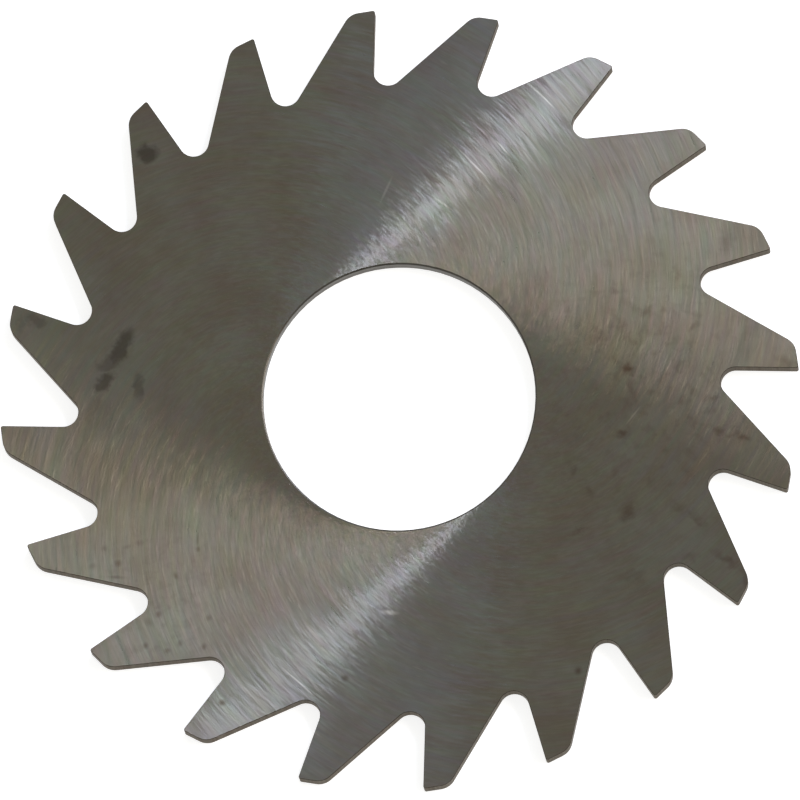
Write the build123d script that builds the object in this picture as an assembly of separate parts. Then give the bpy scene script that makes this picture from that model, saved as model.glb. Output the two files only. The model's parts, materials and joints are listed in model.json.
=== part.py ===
from build123d import *
import math
import os

# A plain slitting saw: one disc of hardened high-speed steel, ground all over, with a plain bore for
# an arbor and teeth on its rim. It lies flat. The origin is on the bore's axis, at the plane that the
# lower tooth corners rest on. +Z is the bore's axis, one tooth points along +Y, and seen from above
# the saw cuts clockwise. Both sides are alike, so turning it over reverses the cut.

# Disc, in millimetres and degrees
tip_circle_diameter = 74.5
bore_diameter = 25.4
rim_thickness = 1.5875
clamp_face_diameter = 38.0
side_clearance_angle = 0.15
bore_chamfer = 0.1

# Teeth: the back falls away from the tangent at the tip by the back angle
tooth_count = 20
rake_angle = 5.0
relief_angle = 4.8
back_angle = 55.8
land_length = 2.4
tip_corner_radius = 0.2
heel_radius = 1.65
gullet_radius = 1.4

# Worked out from the sizes above
tip_circle_radius = tip_circle_diameter / 2
bore_radius = bore_diameter / 2
clamp_face_radius = clamp_face_diameter / 2
pitch_angle = 360 / tooth_count


def heading(angle):
    """The direction at an angle anticlockwise from +X."""
    return Vector(math.cos(math.radians(angle)), math.sin(math.radians(angle)))


def crossing(point, direction, other_point, other_direction):
    """Where two lines in the plan view cross."""
    gap = other_point - point
    along = gap.cross(other_direction).Z / direction.cross(other_direction).Z
    return point + direction * along


def hollow_ground_blank():
    """The turned disc, with flat clamping faces and sides that thin from the rim towards them."""
    dish_depth = (tip_circle_radius - clamp_face_radius) * math.tan(math.radians(side_clearance_angle))
    low_face = dish_depth
    high_face = rim_thickness - dish_depth
    half_section = Polyline(
        (bore_radius + bore_chamfer, 0, low_face),
        (clamp_face_radius, 0, low_face),
        (tip_circle_radius, 0, 0),
        (tip_circle_radius, 0, rim_thickness),
        (clamp_face_radius, 0, high_face),
        (bore_radius + bore_chamfer, 0, high_face),
        (bore_radius, 0, high_face - bore_chamfer),
        (bore_radius, 0, low_face + bore_chamfer),
        close=True,
    )
    return revolve(make_face(half_section), Axis.Z, 360)


def tooth_outline():
    """The plan view: every tooth has a face, a narrow land, a sloping back and a round gullet."""
    tip = heading(90) * tip_circle_radius
    face_direction = heading(270 - rake_angle)
    heel = tip + heading(180 + relief_angle) * land_length
    next_tip = tip.rotate(Axis.Z, pitch_angle)
    next_face_direction = face_direction.rotate(Axis.Z, pitch_angle)
    gullet = crossing(heel, heading(180 + back_angle), next_tip, next_face_direction)

    tips, heels, gullets = [
        [corner.rotate(Axis.Z, pitch_angle * tooth) for tooth in range(tooth_count)]
        for corner in (tip, heel, gullet)
    ]
    corners = [corner for tooth in zip(tips, heels, gullets) for corner in tooth]
    outline = make_face(Polyline(*corners, close=True))

    roundings = [(tips, tip_corner_radius), (heels, heel_radius), (gullets, gullet_radius)]
    for places, radius in roundings:
        nearby = [outline.vertices().sort_by_distance(place)[0] for place in places]
        outline = fillet(nearby, radius)
    return outline


def saw_blade():
    """The blank with the gullets cut through it."""
    toothed_slab = extrude(tooth_outline(), rim_thickness)
    return hollow_ground_blank() & toothed_slab


blade = saw_blade()
blade.label = "saw_blade"
os.makedirs("parts", exist_ok=True)
export_step(blade, "parts/saw_blade.step")
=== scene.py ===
"""A used slitting saw: one disc of ground high-speed steel, lying flat on a pale floor.

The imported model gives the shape. This script dulls the edges of a copy of it, gives each surface the
finish that its own machining leaves, adds the stains of use, and sets the stage. Lengths are in metres.
"""

import json
import math
from typing import NamedTuple

import bpy
from mathutils import Matrix, Vector


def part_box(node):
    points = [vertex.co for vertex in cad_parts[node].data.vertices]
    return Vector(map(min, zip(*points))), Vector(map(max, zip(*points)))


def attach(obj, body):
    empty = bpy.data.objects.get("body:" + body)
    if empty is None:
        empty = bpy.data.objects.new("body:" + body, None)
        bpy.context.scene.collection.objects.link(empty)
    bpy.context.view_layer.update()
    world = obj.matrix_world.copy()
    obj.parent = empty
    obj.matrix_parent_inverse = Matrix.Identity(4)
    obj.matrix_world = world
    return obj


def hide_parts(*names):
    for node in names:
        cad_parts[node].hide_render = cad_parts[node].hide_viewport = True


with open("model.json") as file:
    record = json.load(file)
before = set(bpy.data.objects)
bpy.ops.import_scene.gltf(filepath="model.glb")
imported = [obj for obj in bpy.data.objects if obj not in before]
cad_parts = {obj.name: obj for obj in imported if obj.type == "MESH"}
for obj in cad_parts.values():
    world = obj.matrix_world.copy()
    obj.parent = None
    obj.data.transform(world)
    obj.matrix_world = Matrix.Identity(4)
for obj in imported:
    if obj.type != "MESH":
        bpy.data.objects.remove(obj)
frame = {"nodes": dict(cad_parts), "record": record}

bl_info = {
    "name": "Slitting saw",
    "version": (1, 0, 0),
    "blender": (4, 5, 0),
    "location": "3D View > Sidebar > Slitting Saw",
    "description": "Dresses a packed slitting saw in ground tool steel and sets a stage for it",
    "category": "Object",
}

MM = 0.001
NODE = "saw_blade"
MOUNTS = {mount["name"]: mount for mount in frame["record"]["mounts"]}
BORE_RADIUS = MOUNTS["bore"]["dims"]["r_mm"] * MM
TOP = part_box(NODE)[1].z
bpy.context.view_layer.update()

# A face belongs to one of the two sides where its normal is at least this upright
UPRIGHT = 0.95
# The bore's chamfers end within this distance of its wall
BORE_MARGIN = 0.25 * MM
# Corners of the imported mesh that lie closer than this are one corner
MERGE_DISTANCE = 0.0005 * MM
SMOOTH_ANGLE = math.radians(30)
# The camera's sensor, in millimetres
SENSOR_WIDTH = 36
# The camera sees from this many times nearer than the saw to this many times further
CLIP_SPAN = 10

# Most of a noise texture's values lie between these two
NOISE_LOW = 0.3
NOISE_HIGH = 0.7
# and hardly any strays further than this from one half
NOISE_SWING = 0.25
# Where each kind of patch sets in and where it is full, in the noise that places it
BLOTCHES_SET_IN = (0.35, 0.65)
FRECKLES_SET_IN = (0.5, 0.76)
PROUD_MARKS_SET_IN = (0.64, 0.8)
WALL_GRIME_SETS_IN = (0.45, 0.75)
BORE_GRIME_SETS_IN = (0.5, 0.75)
# How fast the bore's rings change round the bore, against how fast they change with height
RING_DRIFT = 0.02


class Mark(NamedTuple):
    """A stain or scratch on the upper side: its middle and size in millimetres, its turn in degrees
    anticlockwise from +X, and how strong it is from 0 to 1."""

    x: float
    y: float
    length: float
    width: float
    turn: float = 0
    strength: float = 1


# Brown rust blooms, all in the half of the disc on the +X side
RUST_BLOOMS = (
    Mark(21.5, 1.1, 1.8, 1.5, 0, 1.0),
    Mark(21.6, -0.9, 3.0, 1.0, -84, 0.55),
    Mark(18.7, 4.1, 2.4, 1.5, 16, 0.4),
    Mark(23.4, 6.5, 1.8, 1.2, 0, 0.6),
    Mark(23.0, 6.6, 4.4, 1.0, -29, 0.35),
    Mark(22.9, 4.0, 3.2, 0.9, 76, 0.35),
    Mark(27.7, 4.7, 1.8, 0.9, 70, 0.55),
    Mark(20.6, 8.6, 1.5, 0.9, 0, 0.45),
    Mark(18.9, 8.6, 2.8, 0.8, 0, 0.25),
    Mark(26.6, 9.8, 1.8, 0.9, 80, 0.4),
    Mark(31.4, 12.6, 3.2, 1.6, 80, 0.45),
    Mark(32.6, 2.0, 2.8, 2.0, 25, 0.2),
    Mark(36.2, 0.7, 2.4, 1.2, -25, 0.5),
    Mark(29.1, -2.2, 1.3, 1.0, 0, 0.55),
    Mark(29.5, -5.4, 1.4, 1.0, 0, 0.7),
    Mark(31.7, -6.1, 1.6, 1.0, -19, 0.75),
    Mark(30.5, -5.9, 2.6, 0.6, -12, 0.4),
    Mark(20.6, -5.0, 1.4, 1.2, 0, 0.8),
    Mark(15.8, -8.3, 1.1, 0.8, 0, 0.5),
    Mark(17.0, -10.3, 1.7, 1.1, -60, 0.5),
    Mark(15.9, -13.9, 1.7, 0.8, 10, 0.5),
    Mark(20.6, -12.5, 2.1, 1.7, 56, 0.7),
    Mark(25.3, -12.6, 1.6, 1.3, 0, 0.45),
    Mark(26.9, -13.7, 2.6, 0.9, -44, 0.5),
    Mark(29.5, -17.8, 3.4, 1.0, -36, 0.6),
    Mark(31.2, -19.8, 3.0, 1.0, -74, 0.5),
    Mark(20.7, -18.7, 2.6, 1.5, 0, 0.35),
    Mark(26.0, -17.3, 2.0, 1.2, 0, 0.4),
)

# Wide areas where the steel is freckled with faint rust
RUST_HAZE = (
    Mark(24, 0, 26, 34),
    Mark(-24, -18, 18, 20, 0, 0.7),
)

# Dark patches left by old oil and fingerprints, in the -X half
OIL_STAINS = (
    Mark(-22.1, 25.0, 2.1, 1.9, 0, 0.9),
    Mark(-25.6, 6.6, 4.2, 1.5, 58, 0.85),
    Mark(-26.8, 5.2, 2.8, 1.3, 21, 0.6),
    Mark(-27.3, 3.4, 2.4, 1.3, 41, 0.85),
    Mark(-28.4, 1.2, 3.0, 0.8, 60, 0.3),
    Mark(-24.2, 2.8, 2.5, 1.1, 83, 0.65),
    Mark(-33.4, 9.8, 2.0, 1.4, -24, 0.55),
    Mark(-34.8, 9.5, 1.8, 0.8, 76, 0.35),
)

# Small rust pits, most of them near the rim in the -X, -Y quarter
PITS = (
    Mark(-28.2, -12.4, 0.8, 0.7, 0, 0.4),
    Mark(-27.0, -13.9, 0.8, 0.8, 0, 0.7),
    Mark(-29.4, -14.0, 0.8, 0.7, 0, 0.4),
    Mark(-26.1, -12.4, 0.9, 0.5, 16, 0.4),
    Mark(-24.9, -12.1, 0.9, 0.6, 0, 0.4),
    Mark(-27.3, -15.2, 2.0, 0.4, -7, 0.5),
    Mark(-21.7, -15.5, 0.9, 0.6, -64, 0.6),
    Mark(-19.5, -13.1, 0.7, 0.5, 86, 0.6),
    Mark(-19.5, -12.2, 1.6, 0.3, 84, 0.4),
    Mark(-23.5, -19.0, 0.8, 0.7, 56, 0.6),
    Mark(-24.5, -19.7, 1.3, 0.8, -44, 0.4),
    Mark(-24.9, -21.9, 0.7, 0.6, 66, 0.6),
    Mark(-22.9, -22.5, 0.8, 0.7, 0, 0.6),
    Mark(-21.7, -21.9, 0.8, 0.6, 76, 0.5),
    Mark(-19.5, -22.4, 0.8, 0.6, 56, 0.6),
    Mark(-18.9, -19.7, 0.7, 0.7, 0, 0.5),
    Mark(-18.1, -27.8, 0.9, 0.7, 0, 0.8),
    Mark(-6.6, -26.3, 0.8, 0.7, 0, 0.6),
    Mark(15.0, -27.2, 0.9, 0.8, 66, 0.8),
)

# Fresh scratches and proud grinding marks that catch the light: lighter bare steel, with a painted highlight
# on top
SCRATCHES_AND_GLINTS = (
    Mark(8.0, 22.1, 5.0, 0.2, -50, 0.5),
    Mark(5.2, 18.2, 2.8, 0.2, -40, 0.35),
    Mark(15.0, 27.9, 3.8, 0.2, -49, 0.6),
    Mark(11.2, 23.0, 2.6, 0.2, -52, 0.4),
    Mark(0.0, 19.9, 2.8, 0.3, 62, 0.25),
    Mark(-2.1, -20.4, 1.9, 0.5, -10, 0.4),
    Mark(-10.9, -26.4, 4.6, 0.2, -46, 0.5),
    Mark(21.6, -3.4, 2.4, 0.2, 48, 0.3),
)


def linear(hex_colour):
    """A linear RGBA colour from an sRGB hex value."""
    channels = [int(hex_colour[i : i + 2], 16) / 255 for i in (1, 3, 5)]
    return [c / 12.92 if c <= 0.04045 else ((c + 0.055) / 1.055) ** 2.4 for c in channels] + [1.0]


def colour_property(name, description, hex_colour):
    return bpy.props.FloatVectorProperty(
        name=name, description=description, subtype="COLOR", size=4, min=0, max=1,
        default=linear(hex_colour),
    )


def length_property(name, description, millimetres):
    return bpy.props.FloatProperty(
        name=name, description=description, unit="LENGTH", precision=5, default=millimetres * MM,
    )


def angle_property(name, description, degrees):
    return bpy.props.FloatProperty(
        name=name, description=description, subtype="ANGLE", default=math.radians(degrees),
    )


def number_property(name, description, value):
    return bpy.props.FloatProperty(name=name, description=description, default=value)


class SawFinish(bpy.types.PropertyGroup):
    """Sizes and colours of the steel's surfaces"""

    edge_break: length_property("Edge break", "How far the sharp edges have been dulled", 0.05)

    steel: colour_property("Ground steel", "Dull ground steel, the lighter tone", "#8a867c")
    steel_dull: colour_property("Dulled steel", "Ground steel under a thin oxide, the darker tone", "#7f7a6e")
    # painted highlight: lighter than bare steel alone, so that the scratches also show the highlight they
    # catch
    fresh_steel_and_glint: colour_property("Fresh steel", "Steel bared by a scratch", "#c6bfae")
    # painted shade: the walls' colour is darker than the sides' steel partly for grime and partly to stand
    # for the shade on the walls
    wall: colour_property("Tooth walls", "Steel of the gashed gullets and tooth backs", "#4b4741")
    # painted shade: the dimmer glancing gloss darkens the walls partly for grime and partly for the shade on
    # them
    wall_glance: colour_property("Wall glance", "How bright the walls are at a glancing look", "#dad5cd")
    # painted shade: the bore's colour is darker than the sides' steel, to stand for the shade in the bore
    bore: colour_property("Bore", "Steel of the ground bore", "#5b5852")
    rust: colour_property("Rust", "Thin brown rust", "#4c3a2c")
    oil: colour_property("Oil", "Old oil baked onto the steel", "#362c20")

    lay_circle: length_property("Lay circle", "Radius of the circle that the marks' normals touch", 12.1)
    lay_shift_x: length_property("Lay shift X", "How far off the grinding table's centre the disc sat", -0.6)
    lay_shift_y: length_property("Lay shift Y", "How far off the grinding table's centre the disc sat", -0.8)
    fine_mark: length_property("Fine marks", "Spacing of the fine grinding marks", 0.2)
    coarse_mark: length_property("Coarse marks", "Spacing of the coarse grinding marks", 0.5)
    mark_run: length_property("Mark run", "The longer, the sooner a grinding mark fades along its way", 3.0)
    fine_height: length_property("Fine height", "How far the fine grinding marks stand proud", 0.012)
    coarse_height: length_property("Coarse height", "How far the coarse grinding marks stand proud", 0.026)
    fine_lean: angle_property("Fine lean", "How far the fine marks lean off their course", 18)
    coarse_lean: angle_property("Coarse lean", "How far the coarse marks lean off their course", 8)
    mark_tone: number_property("Mark tone", "How far the tone differs from one mark to the next", 0.5)
    proud_marks: number_property("Proud marks", "How fresh the steel on the proudest fine marks is", 0.15)
    blotch: length_property("Blotch", "Size of the patches of dull oxide", 6.0)
    tarnish: number_property("Tarnish", "How far the oxide's faint hues differ from place to place", 0.22)
    roughness: number_property("Roughness", "Roughness of the ground sides", 0.33)
    polish_spread: number_property("Polish spread", "How much rougher one mark is than the next", 0.12)
    anisotropy: number_property("Anisotropy", "How much more the marks spread light across than along", 1.0)

    stain_wander: length_property("Stain wander", "How far the edges of the stains wander", 0.35)
    stain_lobe: length_property("Stain lobes", "Size of the bulges in the edges of the stains", 0.9)
    freckle: length_property("Freckles", "Size of the faint rust freckles", 1.1)
    freckle_cover: number_property("Freckle cover", "How much of the steel a full freckle hides", 0.5)
    rust_cover: number_property("Rust cover", "How much of the steel full rust hides", 0.9)
    oil_cover: number_property("Oil cover", "How much of the steel full oil hides", 0.8)
    stain_dulling: number_property("Stain dulling", "How much rougher a full stain is than steel", 0.08)
    stain_metal: number_property("Stain metal", "How metallic a full stain still looks", 0.75)

    wall_mark: length_property("Wall marks", "Spacing of the cutter's marks on the tooth walls", 0.25)
    wall_comb: number_property("Wall comb", "How much darker the walls' marks are at their darkest", 0.25)
    wall_grime: length_property("Wall grime", "Size of the patches of grime on the tooth walls", 1.25)
    wall_grime_cover: number_property("Wall grime cover", "How much of the walls full grime hides", 0.6)
    wall_roughness: number_property("Wall roughness", "Roughness of the tooth walls", 0.47)
    wall_anisotropy: number_property("Wall anisotropy", "How one-sided the walls' gloss is", 0.6)
    bore_mark: length_property("Bore marks", "Spacing of the grinding rings in the bore", 0.15)
    bore_grime: length_property("Bore grime", "Size of the patches of grime in the bore", 2.0)
    bore_grime_cover: number_property("Bore grime cover", "How much of the bore full grime hides", 0.5)
    bore_roughness: number_property("Bore roughness", "Roughness of the bore", 0.37)
    bore_anisotropy: number_property("Bore anisotropy", "How one-sided the bore's gloss is", 0.7)
    machined_spread: number_property("Machined spread", "How uneven the gloss of walls and bore is", 0.1)


class StudioStage(bpy.types.PropertyGroup):
    """Where the camera and the lamps stand, and the light that they give"""

    view_azimuth: angle_property("Camera azimuth", "Where the camera stands, anticlockwise from +X", -78.94)
    view_elevation: angle_property("Camera elevation", "How high the camera stands", 76.41)
    view_up: angle_property("Camera up", "The way on the floor that is upward in the picture", 86.54)
    view_distance: length_property("Camera distance", "From the middle of the saw's upper side", 1257.2)
    lens: number_property("Lens", "Focal length in millimetres on a 36 mm sensor", 608.5)
    shift_x: number_property("Shift X", "Camera shift in widths of the picture", 0.0013)
    shift_y: number_property("Shift Y", "Camera shift in widths of the picture", -0.004)

    floor_size: length_property("Floor size", "Length of the floor's sides", 6000)
    floor_drop: length_property("Floor drop", "How far the floor lies below the saw", 0.01)
    floor_colour: colour_property("Floor", "Pale matt floor", "#bebebc")
    floor_roughness: number_property("Floor roughness", "Roughness of the floor", 0.9)
    floor_lift: number_property("Floor lift", "Light of its own, in plain sight and in gloss", 0.8)
    air_colour: colour_property("Studio air", "Light that comes from all round", "#fffef8")
    air_level: number_property("Air level", "Strength of the light from all round", 0.42)
    horizon: number_property("Horizon", "Height of a sight line at which the white backdrop ends", 0.3)

    lamp_distance: length_property("Lamp distance", "From the saw to each softbox", 1400)
    lamp_elevation: angle_property("Lamp elevation", "How high each softbox stands", 40)

    broad_azimuth: angle_property("Broad softbox azimuth", "Anticlockwise from +X", 10.3)
    broad_width: length_property("Broad softbox width", "Level with the floor", 1590)
    broad_height: length_property("Broad softbox height", "Up and down", 490)
    broad_feather: number_property("Broad softbox feather", "Share of its width that fades out", 0.39)
    broad_radiance: number_property("Broad softbox radiance", "Brightness of its bright end", 11.6)
    broad_fall: number_property("Broad softbox fall", "Its dim end's brightness over its bright end's", 0.5)
    broad_colour: colour_property("Broad softbox colour", "Cool light of its bright end", "#e9eeff")
    broad_warmth: colour_property("Broad softbox warmth", "Warm light of its dim end", "#fff0da")

    strip_azimuth: angle_property("Strip softbox azimuth", "Anticlockwise from +X", 54.6)
    strip_width: length_property("Strip softbox width", "Level with the floor", 62)
    strip_height: length_property("Strip softbox height", "Up and down", 295)
    strip_radiance: number_property("Strip softbox radiance", "Its brightness", 95)
    strip_colour: colour_property("Strip softbox colour", "Cool light, as from a window", "#d8e2ff")

    side_azimuth: angle_property("Side softbox azimuth", "Anticlockwise from +X", 70)
    side_width: length_property("Side softbox width", "Level with the floor", 440)
    side_height: length_property("Side softbox height", "Up and down", 490)
    side_radiance: number_property("Side softbox radiance", "Its brightness", 1.8)
    side_colour: colour_property("Side softbox colour", "Blue light, as from a wall by a window", "#a4c8ff")


def add_node(tree, kind, inputs=None, **settings):
    """Adds a node with its settings, and sets or links each of the named or numbered inputs."""
    node = tree.nodes.new(kind)
    for name, value in settings.items():
        setattr(node, name, value)
    for name, value in (inputs or {}).items():
        if isinstance(value, bpy.types.NodeSocket):
            tree.links.new(value, node.inputs[name])
        else:
            node.inputs[name].default_value = value
    return node


def new_material(name):
    """An empty node material with its shader and output, and that shader."""
    material = bpy.data.materials.new(name)
    material.use_nodes = True
    tree = material.node_tree
    tree.nodes.clear()
    shader = add_node(tree, "ShaderNodeBsdfPrincipled")
    add_node(tree, "ShaderNodeOutputMaterial", {"Surface": shader.outputs[0]})
    return material, tree, shader


def place_in_mm(tree):
    """The place on the saw in millimetres: whole, and laid flat."""
    place = add_node(tree, "ShaderNodeTexCoord").outputs["Object"]
    whole = add_node(tree, "ShaderNodeVectorMath", {0: place, "Scale": 1 / MM}, operation="SCALE")
    flat = add_node(tree, "ShaderNodeVectorMath", {0: whole.outputs[0], 1: (1, 1, 0)}, operation="MULTIPLY")
    return whole.outputs[0], flat.outputs[0]


def grinding_lay(tree, flat, finish):
    """The way that the grinding marks run: each lies across a line that just touches the lay circle.

    Gives the horizontal direction across the marks, and a place in a noise space, as three
    coordinates and a fourth. That place changes fast across the marks and slowly along them, with no
    seam anywhere round the disc.
    """
    circle = finish.lay_circle / MM
    shift = (finish.lay_shift_x / MM, finish.lay_shift_y / MM, 0)
    centred = add_node(tree, "ShaderNodeVectorMath", {0: flat, 1: shift}, operation="SUBTRACT")
    radius = add_node(tree, "ShaderNodeVectorMath", {0: centred.outputs[0]}, operation="LENGTH")
    ratio = add_node(
        tree, "ShaderNodeMath", {0: circle, 1: radius.outputs["Value"]},
        operation="DIVIDE", use_clamp=True,
    )
    lean = add_node(tree, "ShaderNodeMath", {0: ratio.outputs[0]}, operation="ARCSINE")
    turn = add_node(tree, "ShaderNodeMath", {0: lean.outputs[0], 1: -1}, operation="MULTIPLY")
    along_normal = add_node(
        tree, "ShaderNodeVectorRotate",
        {"Vector": centred.outputs[0], "Angle": turn.outputs[0]}, rotation_type="Z_AXIS",
    )
    across = add_node(tree, "ShaderNodeVectorMath", {0: along_normal.outputs[0]}, operation="NORMALIZE")
    # the string that unwinds from the circle as a mark is followed
    reach = add_node(
        tree, "ShaderNodeVectorMath", {0: along_normal.outputs[0], 1: across.outputs[0]},
        operation="DOT_PRODUCT",
    )
    cosine = add_node(tree, "ShaderNodeMath", {0: lean.outputs[0]}, operation="COSINE")
    string = add_node(
        tree, "ShaderNodeMath", {0: reach.outputs["Value"], 1: cosine.outputs[0]}, operation="MULTIPLY",
    )
    unwound = add_node(tree, "ShaderNodeMath", {0: string.outputs[0], 1: -1 / circle}, operation="MULTIPLY")
    wheel = add_node(
        tree, "ShaderNodeVectorRotate",
        {"Vector": across.outputs[0], "Angle": unwound.outputs[0]}, rotation_type="Z_AXIS",
    )
    wide = add_node(tree, "ShaderNodeVectorMath", {0: wheel.outputs[0], "Scale": circle}, operation="SCALE")
    parts = add_node(tree, "ShaderNodeSeparateXYZ", {0: across.outputs[0]})
    run = finish.mark_run / MM
    third = product(tree, parts.outputs["X"], run)
    fourth = product(tree, parts.outputs["Y"], run)
    lift = add_node(tree, "ShaderNodeCombineXYZ", {"Z": third})
    where = add_node(tree, "ShaderNodeVectorMath", {0: wide.outputs[0], 1: lift.outputs[0]}, operation="ADD")
    return across.outputs[0], where.outputs[0], fourth


def mark_noise(tree, where, fourth, spacing):
    """Noise drawn out along the grinding marks: its level from 0 to 1, and its colour."""
    noise = add_node(
        tree, "ShaderNodeTexNoise",
        {"Vector": where, "W": fourth, "Scale": MM / spacing, "Detail": 1, "Roughness": 0.5},
        noise_dimensions="4D",
    )
    return noise.outputs["Fac"], noise.outputs["Color"]


def stretched(tree, value, low=NOISE_LOW, high=NOISE_HIGH, new_low=0.0, new_high=1.0):
    """A value from low to high, stretched to the new range and held inside it."""
    return add_node(
        tree, "ShaderNodeMapRange",
        {"Value": value, "From Min": low, "From Max": high, "To Min": new_low, "To Max": new_high},
    ).outputs[0]


def blended(tree, share, colour, other):
    """One colour, turned into the other by a share."""
    return add_node(tree, "ShaderNodeMix", {0: share, 6: colour, 7: other}, data_type="RGBA").outputs[2]


def product(tree, one, other):
    return add_node(tree, "ShaderNodeMath", {0: one, 1: other}, operation="MULTIPLY").outputs[0]


def larger(tree, one, other):
    return add_node(tree, "ShaderNodeMath", {0: one, 1: other}, operation="MAXIMUM").outputs[0]


def painted(tree, flat, marks, rim=1.4, core=0.0):
    """How deep a place lies in any of the marks: it fades in from the rim to the core, both counted in
    half widths of the mark."""
    depth = 0.0
    for mark in marks:
        own_place = add_node(
            tree, "ShaderNodeMapping",
            {"Vector": flat, "Location": (mark.x, mark.y, 0), "Rotation": (0, 0, math.radians(mark.turn)),
             "Scale": (mark.length / 2, mark.width / 2, 1)},
            vector_type="TEXTURE",
        )
        away = add_node(tree, "ShaderNodeVectorMath", {0: own_place.outputs[0]}, operation="LENGTH")
        inside = add_node(
            tree, "ShaderNodeMapRange",
            {"Value": away.outputs["Value"], "From Min": rim, "From Max": core, "To Max": mark.strength},
            interpolation_type="SMOOTHSTEP",
        )
        depth = larger(tree, depth, inside.outputs[0])
    return depth


def ground_tool_steel(finish):
    """High-speed steel, ground flat with a cup wheel, dulled by use and spotted with rust.

    The fine arcs of the wheel spread light across themselves far more than along, which draws the two
    bright bands, and each arc's own lean makes their edges feathery. Rust and oil sit on the upper
    side and take the metal's gloss away.
    """
    material, tree, shader = new_material("ground_tool_steel")
    whole, flat = place_in_mm(tree)
    across, where, fourth = grinding_lay(tree, flat, finish)
    # real wheel marks are a few hundredths of a millimetre apart, which is too fine to show
    fine, _ = mark_noise(tree, where, fourth, finish.fine_mark)
    coarse, hues = mark_noise(tree, where, fourth, finish.coarse_mark)

    fine_lean = stretched(tree, fine, 0, 1, -finish.fine_lean / 2, finish.fine_lean / 2)
    coarse_lean = stretched(tree, coarse, 0, 1, -finish.coarse_lean / 2, finish.coarse_lean / 2)
    lean = add_node(tree, "ShaderNodeMath", {0: fine_lean, 1: coarse_lean}, operation="ADD")
    tangent = add_node(
        tree, "ShaderNodeVectorRotate", {"Vector": across, "Angle": lean.outputs[0]}, rotation_type="Z_AXIS",
    )
    coarser = finish.coarse_height / finish.fine_height
    relief = add_node(
        tree, "ShaderNodeMath", {0: coarse, 1: coarser, 2: fine}, operation="MULTIPLY_ADD",
    )
    bump = add_node(
        tree, "ShaderNodeBump",
        {"Height": relief.outputs[0], "Distance": finish.fine_height, "Strength": 1.0},
    )

    blotches = add_node(
        tree, "ShaderNodeTexNoise",
        {"Vector": whole, "Scale": MM / finish.blotch, "Detail": 5, "Roughness": 0.6},
    )
    dull = stretched(tree, blotches.outputs["Fac"], *BLOTCHES_SET_IN)
    streaked = stretched(tree, fine, new_low=-finish.mark_tone / 2, new_high=finish.mark_tone / 2)
    tone = add_node(tree, "ShaderNodeMath", {0: dull, 1: streaked}, operation="ADD", use_clamp=True)
    plain = blended(tree, tone.outputs[0], finish.steel, finish.steel_dull)
    # faint blue, olive and pink, drawn out along the marks and in patches, where one half tints nothing
    hue = blended(tree, 0.5, hues, blotches.outputs["Color"])
    tint = add_node(
        tree, "ShaderNodeVectorMath",
        {0: hue, 1: [2 * finish.tarnish] * 3, 2: [1 - finish.tarnish] * 3}, operation="MULTIPLY_ADD",
    )
    tinted = add_node(tree, "ShaderNodeVectorMath", {0: plain, 1: tint.outputs[0]}, operation="MULTIPLY")
    steel = tinted.outputs[0]

    # stains wander off their ovals, and lie on the upper side only
    lobes = add_node(
        tree, "ShaderNodeTexNoise", {"Vector": flat, "Scale": MM / finish.stain_lobe, "Detail": 3},
    )
    offset = add_node(
        tree, "ShaderNodeVectorMath", {0: lobes.outputs["Color"], 1: (0.5, 0.5, 0.5)}, operation="SUBTRACT",
    )
    sideways = add_node(
        tree, "ShaderNodeVectorMath", {0: offset.outputs[0], 1: (1, 1, 0)}, operation="MULTIPLY",
    )
    wander = add_node(
        tree, "ShaderNodeVectorMath",
        {0: sideways.outputs[0], "Scale": finish.stain_wander / MM / NOISE_SWING}, operation="SCALE",
    )
    moved = add_node(tree, "ShaderNodeVectorMath", {0: flat, 1: wander.outputs[0]}, operation="ADD")
    warped = moved.outputs[0]
    height = add_node(tree, "ShaderNodeSeparateXYZ", {0: whole}).outputs["Z"]
    above = add_node(tree, "ShaderNodeMath", {0: height, 1: TOP / MM / 2}, operation="GREATER_THAN")
    upper = above.outputs[0]

    specks = add_node(
        tree, "ShaderNodeTexNoise", {"Vector": whole, "Scale": MM / finish.freckle, "Detail": 2},
    )
    freckles = stretched(tree, specks.outputs["Fac"], *FRECKLES_SET_IN, new_high=finish.freckle_cover)
    freckled = product(tree, freckles, painted(tree, warped, RUST_HAZE))
    blooms = larger(tree, painted(tree, warped, RUST_BLOOMS), freckled)
    rust = product(tree, larger(tree, blooms, painted(tree, flat, PITS)), upper)
    oil = product(tree, painted(tree, warped, OIL_STAINS, core=0.5), upper)
    # the proudest of the fine marks are a little fresher all over, and the long scratches are drawn as bare
    # steel with a painted highlight
    proud = stretched(tree, fine, *PROUD_MARKS_SET_IN, new_high=finish.proud_marks)
    drawn = painted(tree, flat, SCRATCHES_AND_GLINTS, rim=1.2, core=0.3)
    fresh = larger(tree, proud, product(tree, drawn, upper))

    # painted highlight: the scratches are lightened towards bare steel and a painted glint
    bare_and_glint = blended(tree, fresh, steel, finish.fresh_steel_and_glint)
    rusty = blended(tree, product(tree, rust, finish.rust_cover), bare_and_glint, finish.rust)
    oily = blended(tree, product(tree, oil, finish.oil_cover), rusty, finish.oil)

    stain = larger(tree, rust, oil)
    smoothest = finish.roughness - finish.polish_spread / 2
    roughest = finish.roughness + finish.polish_spread / 2
    both = blended(tree, 0.5, fine, coarse)
    worn = stretched(tree, both, new_low=smoothest, new_high=roughest)
    rough = add_node(
        tree, "ShaderNodeMath", {0: stain, 1: finish.stain_dulling, 2: worn}, operation="MULTIPLY_ADD",
    )
    metallic = stretched(tree, stain, 0, 1, 1, finish.stain_metal)
    tree.links.new(oily, shader.inputs["Base Color"])
    tree.links.new(metallic, shader.inputs["Metallic"])
    tree.links.new(rough.outputs[0], shader.inputs["Roughness"])
    tree.links.new(tangent.outputs[0], shader.inputs["Tangent"])
    tree.links.new(bump.outputs[0], shader.inputs["Normal"])
    shader.inputs["Anisotropic"].default_value = finish.anisotropy
    return material


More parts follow.
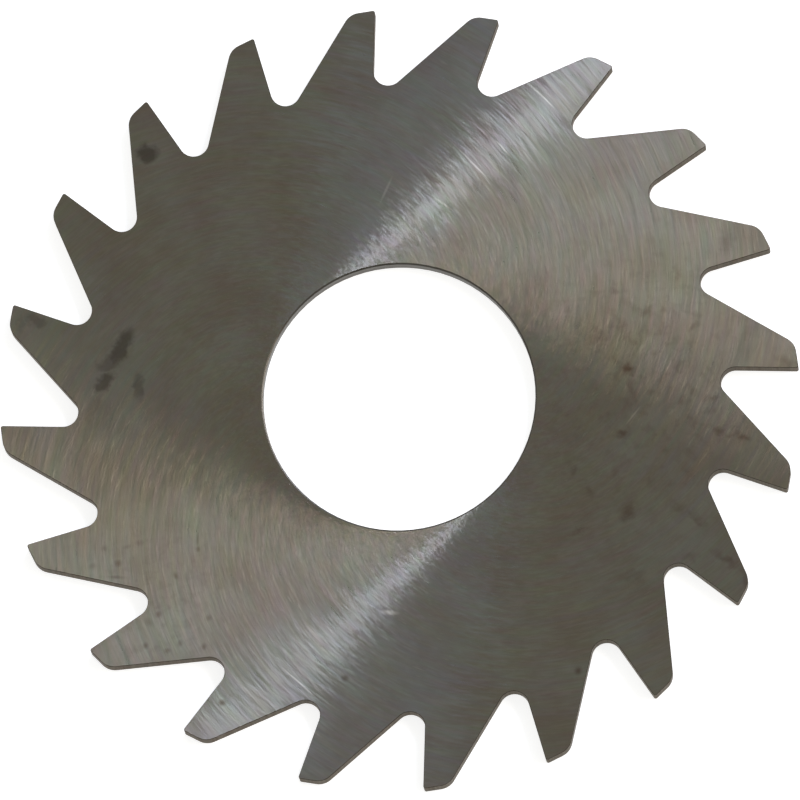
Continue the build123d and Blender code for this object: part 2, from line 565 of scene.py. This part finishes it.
def gashed_tool_steel(finish):
    """The same steel where a cutter gashed the gullets: dull, with grime left in the tool marks.

    The marks run straight through the disc's thickness, so the walls look combed. The walls' colour and
    glancing gloss are darker than the sides' steel partly for grime and partly as painted shade.
    """
    material, tree, shader = new_material("gashed_tool_steel")
    whole, flat = place_in_mm(tree)
    comb = add_node(tree, "ShaderNodeTexNoise", {"Vector": flat, "Scale": MM / finish.wall_mark, "Detail": 2})
    grime = add_node(
        tree, "ShaderNodeTexNoise", {"Vector": whole, "Scale": MM / finish.wall_grime, "Detail": 4},
    )
    dirty = stretched(tree, grime.outputs["Fac"], *WALL_GRIME_SETS_IN, new_high=finish.wall_grime_cover)
    # painted shade: the walls' base colour is darker than the sides' steel partly for grime and partly for
    # shade
    tone = blended(tree, dirty, finish.wall, finish.rust)
    dark = stretched(tree, comb.outputs["Fac"], new_high=finish.wall_comb)
    combed = blended(tree, dark, tone, finish.oil)
    smoothest = finish.wall_roughness - finish.machined_spread / 2
    roughest = finish.wall_roughness + finish.machined_spread / 2
    rough = stretched(tree, comb.outputs["Fac"], new_low=smoothest, new_high=roughest)
    outward = add_node(tree, "ShaderNodeNewGeometry").outputs["Normal"]
    sideways = add_node(tree, "ShaderNodeVectorMath", {0: outward, 1: (0, 0, 1)}, operation="CROSS_PRODUCT")
    bump = add_node(
        tree, "ShaderNodeBump",
        {"Height": comb.outputs["Fac"], "Distance": finish.fine_height, "Strength": 1.0},
    )
    tree.links.new(combed, shader.inputs["Base Color"])
    tree.links.new(rough, shader.inputs["Roughness"])
    tree.links.new(sideways.outputs[0], shader.inputs["Tangent"])
    tree.links.new(bump.outputs[0], shader.inputs["Normal"])
    shader.inputs["Metallic"].default_value = 1
    # grime in the marks takes away some of the glancing gloss that clean metal would have, and the dimmer
    # gloss is partly painted shade on the walls
    shader.inputs["Specular Tint"].default_value = finish.wall_glance
    shader.inputs["Anisotropic"].default_value = finish.wall_anisotropy
    return material


def bore_ground_tool_steel(finish):
    """The same steel in the bore, ground inside by a small wheel that leaves fine rings."""
    material, tree, shader = new_material("bore_ground_tool_steel")
    whole, _ = place_in_mm(tree)
    # the rings are noise that changes with height alone, apart from a slow change round the bore
    level = add_node(
        tree, "ShaderNodeVectorMath", {0: whole, 1: (RING_DRIFT, RING_DRIFT, 1)}, operation="MULTIPLY",
    )
    rings = add_node(
        tree, "ShaderNodeTexNoise", {"Vector": level.outputs[0], "Scale": MM / finish.bore_mark, "Detail": 2},
    )
    grime = add_node(
        tree, "ShaderNodeTexNoise", {"Vector": whole, "Scale": MM / finish.bore_grime, "Detail": 4},
    )
    dirty = stretched(tree, grime.outputs["Fac"], *BORE_GRIME_SETS_IN, new_high=finish.bore_grime_cover)
    # painted shade: the bore's base colour is darker than the sides' steel
    tone = blended(tree, dirty, finish.bore, finish.oil)
    smoothest = finish.bore_roughness - finish.machined_spread / 2
    roughest = finish.bore_roughness + finish.machined_spread / 2
    rough = stretched(tree, rings.outputs["Fac"], new_low=smoothest, new_high=roughest)
    tree.links.new(tone, shader.inputs["Base Color"])
    tree.links.new(rough, shader.inputs["Roughness"])
    up = add_node(tree, "ShaderNodeCombineXYZ", {"Z": 1.0})
    tree.links.new(up.outputs[0], shader.inputs["Tangent"])
    shader.inputs["Metallic"].default_value = 1
    shader.inputs["Anisotropic"].default_value = finish.bore_anisotropy
    return material


def deselect_all():
    if bpy.context.object and bpy.context.object.mode != "OBJECT":
        bpy.ops.object.mode_set(mode="OBJECT")
    bpy.ops.object.select_all(action="DESELECT")


def make_active(piece):
    deselect_all()
    piece.select_set(True)
    bpy.context.view_layer.objects.active = piece


class SAW_OT_blade(bpy.types.Operator):
    """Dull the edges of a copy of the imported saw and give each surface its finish"""

    bl_idname = "saw.blade"
    bl_label = "Ground blade"

    def execute(self, context):
        finish = context.scene.saw_finish
        node = frame["nodes"][NODE]
        blade = bpy.data.objects.new("saw_steel", node.data.copy())
        context.scene.collection.objects.link(blade)
        make_active(blade)
        bpy.ops.mesh.customdata_custom_splitnormals_clear()
        bpy.ops.object.mode_set(mode="EDIT")
        bpy.ops.mesh.select_all(action="SELECT")
        bpy.ops.mesh.remove_doubles(threshold=MERGE_DISTANCE)
        for side in (1, -1):
            self.break_edges(blade, side, finish.edge_break)
        bpy.ops.object.mode_set(mode="OBJECT")
        bpy.ops.object.shade_smooth_by_angle(angle=SMOOTH_ANGLE)
        self.finish_surfaces(blade, finish)
        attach(blade, "root")
        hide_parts(NODE)
        return {"FINISHED"}

    def break_edges(self, blade, side, width):
        """Insets one side a little and draws its old rims back, to leave a narrow slope."""
        mesh = blade.data
        bpy.ops.object.mode_set(mode="OBJECT")
        for item in (*mesh.vertices, *mesh.edges):
            item.select = False
        for face in mesh.polygons:
            face.select = face.normal.z * side > UPRIGHT
        bpy.ops.object.mode_set(mode="EDIT")
        bpy.ops.mesh.select_mode(type="FACE")
        bpy.ops.mesh.inset(thickness=width, depth=0)
        bpy.ops.object.mode_set(mode="OBJECT")
        this_side = [face for face in mesh.polygons if face.normal.z * side > UPRIGHT]
        inner = {corner for face in this_side if face.select for corner in face.vertices}
        rims = {corner for face in this_side if not face.select for corner in face.vertices} - inner
        for vertex in mesh.vertices:
            vertex.select = vertex.index in rims
        for edge in mesh.edges:
            edge.select = rims.issuperset(edge.vertices)
        for face in mesh.polygons:
            face.select = False
        bpy.ops.object.mode_set(mode="EDIT")
        bpy.ops.mesh.select_mode(type="VERT")
        bpy.ops.transform.translate(value=(0, 0, -side * width))

    def finish_surfaces(self, blade, finish):
        """The two sides, the walls of teeth and gullets, and the bore each get their own finish."""
        blade.data.materials.clear()
        for make in (ground_tool_steel, gashed_tool_steel, bore_ground_tool_steel):
            blade.data.materials.append(make(finish))
        sides, walls, bore = range(3)
        for face in blade.data.polygons:
            if abs(face.normal.z) > UPRIGHT:
                face.material_index = sides
            elif math.hypot(face.center.x, face.center.y) > BORE_RADIUS + BORE_MARGIN:
                face.material_index = walls
            else:
                face.material_index = bore


def towards(azimuth, elevation):
    """The unit vector at an azimuth anticlockwise from +X and an elevation above the floor."""
    return Vector((
        math.cos(azimuth) * math.cos(elevation),
        math.sin(azimuth) * math.cos(elevation),
        math.sin(elevation),
    ))


def facing(back, up):
    """The turn of a camera or lamp that stands along back from what it faces."""
    up = (up - up.dot(back) * back).normalized()
    return Matrix((up.cross(back), up, back)).transposed().to_4x4()


class SAW_OT_stage(bpy.types.Operator):
    """Set the camera, the lamps and a pale floor"""

    bl_idname = "saw.stage"
    bl_label = "Stage"

    def execute(self, context):
        stage = context.scene.saw_stage
        self.floor(stage)
        self.camera(context, stage)
        self.air(context, stage)
        broad = self.softbox(
            stage, "broad_softbox", stage.broad_azimuth, stage.broad_width, stage.broad_height,
            stage.broad_radiance, stage.broad_colour,
        )
        self.feather(broad, stage)
        self.softbox(
            stage, "strip_softbox", stage.strip_azimuth, stage.strip_width, stage.strip_height,
            stage.strip_radiance, stage.strip_colour,
        )
        self.softbox(
            stage, "side_softbox", stage.side_azimuth, stage.side_width, stage.side_height,
            stage.side_radiance, stage.side_colour,
        )
        context.scene.view_settings.view_transform = "Standard"
        return {"FINISHED"}

    def floor(self, stage):
        deselect_all()
        bpy.ops.mesh.primitive_plane_add(size=stage.floor_size, location=(0, 0, -stage.floor_drop))
        floor = bpy.context.object
        floor.name = "pale_floor"
        material, tree, shader = new_material("matt_white_paper")
        shader.inputs["Base Color"].default_value = stage.floor_colour
        shader.inputs["Roughness"].default_value = stage.floor_roughness
        path = add_node(tree, "ShaderNodeLightPath").outputs
        seen = larger(tree, path["Is Camera Ray"], path["Is Glossy Ray"])
        seen = larger(tree, seen, path["Is Transmission Ray"])
        lift = product(tree, seen, stage.floor_lift)
        tree.links.new(lift, shader.inputs["Emission Strength"])
        floor.data.materials.append(material)

    def camera(self, context, stage):
        deselect_all()
        back = towards(stage.view_azimuth, stage.view_elevation)
        up = towards(stage.view_up, 0)
        middle = Vector((0, 0, TOP))
        bpy.ops.object.camera_add()
        camera = context.object
        camera.matrix_world = Matrix.Translation(middle + back * stage.view_distance) @ facing(back, up)
        camera.data.lens = stage.lens
        camera.data.sensor_width = SENSOR_WIDTH
        camera.data.shift_x = stage.shift_x
        camera.data.shift_y = stage.shift_y
        camera.data.clip_start = stage.view_distance / CLIP_SPAN
        camera.data.clip_end = stage.view_distance * CLIP_SPAN
        context.scene.camera = camera

    def air(self, context, stage):
        """Even light from above, and a white backdrop all round the horizon."""
        world = bpy.data.worlds.new("studio_air")
        world.use_nodes = True
        tree = world.node_tree
        tree.nodes.clear()
        sky = add_node(tree, "ShaderNodeTexCoord").outputs["Generated"]
        height = add_node(tree, "ShaderNodeSeparateXYZ", {0: sky}).outputs["Z"]
        level = stretched(tree, height, stage.horizon / 2, stage.horizon, 1.0, stage.air_level)
        air = add_node(tree, "ShaderNodeBackground", {"Color": stage.air_colour, "Strength": level})
        add_node(tree, "ShaderNodeOutputWorld", {"Surface": air.outputs[0]})
        context.scene.world = world

    def softbox(self, stage, name, azimuth, width, height, radiance, colour):
        """A flat lamp that faces the saw."""
        deselect_all()
        back = towards(azimuth, stage.lamp_elevation)
        bpy.ops.object.light_add(type="AREA")
        lamp = bpy.context.object
        lamp.name = name
        lamp.matrix_world = Matrix.Translation(back * stage.lamp_distance) @ facing(back, Vector((0, 0, 1)))
        lamp.data.shape = "RECTANGLE"
        lamp.data.size = width
        lamp.data.size_y = height
        lamp.data.energy = radiance * math.pi * width * height
        lamp.data.color = colour[:3]
        return lamp

    def feather(self, lamp, stage):
        """Fades a softbox towards its clockwise edge, where its light is also dimmer and warmer."""
        lamp.data.color = (1, 1, 1)
        lamp.data.use_nodes = True
        tree = lamp.data.node_tree
        tree.nodes.clear()
        place = add_node(tree, "ShaderNodeNewGeometry").outputs["Parametric"]
        along = add_node(tree, "ShaderNodeSeparateXYZ", {0: place}).outputs["X"]
        edge = stretched(tree, along, 0, stage.broad_feather)
        level = stretched(tree, along, 0, 1, stage.broad_fall, 1)
        glow = add_node(
            tree, "ShaderNodeEmission",
            {"Color": blended(tree, along, stage.broad_warmth, stage.broad_colour),
             "Strength": product(tree, edge, level)},
        )
        add_node(tree, "ShaderNodeOutputLight", {"Surface": glow.outputs[0]})


class SAW_PT_sidebar(bpy.types.Panel):
    """Lists the saw's steps and settings"""

    bl_idname = "SAW_PT_sidebar"
    bl_label = "Slitting Saw"
    bl_space_type = "VIEW_3D"
    bl_region_type = "UI"
    bl_category = "Slitting Saw"

    def draw(self, context):
        for operator in OPERATORS:
            self.layout.operator(operator.bl_idname)
        for settings in (context.scene.saw_finish, context.scene.saw_stage):
            for name in settings.bl_rna.properties.keys():
                if name not in ("rna_type", "name"):
                    self.layout.prop(settings, name)


OPERATORS = (SAW_OT_blade, SAW_OT_stage)
CLASSES = (SawFinish, StudioStage, *OPERATORS, SAW_PT_sidebar)


def register():
    for each in CLASSES:
        bpy.utils.register_class(each)
    bpy.types.Scene.saw_finish = bpy.props.PointerProperty(type=SawFinish)
    bpy.types.Scene.saw_stage = bpy.props.PointerProperty(type=StudioStage)


def unregister():
    del bpy.types.Scene.saw_stage
    del bpy.types.Scene.saw_finish
    for each in reversed(CLASSES):
        bpy.utils.unregister_class(each)


def main():
    register()
    bpy.ops.saw.blade()
    bpy.ops.saw.stage()


if __name__ == "__main__":
    main()
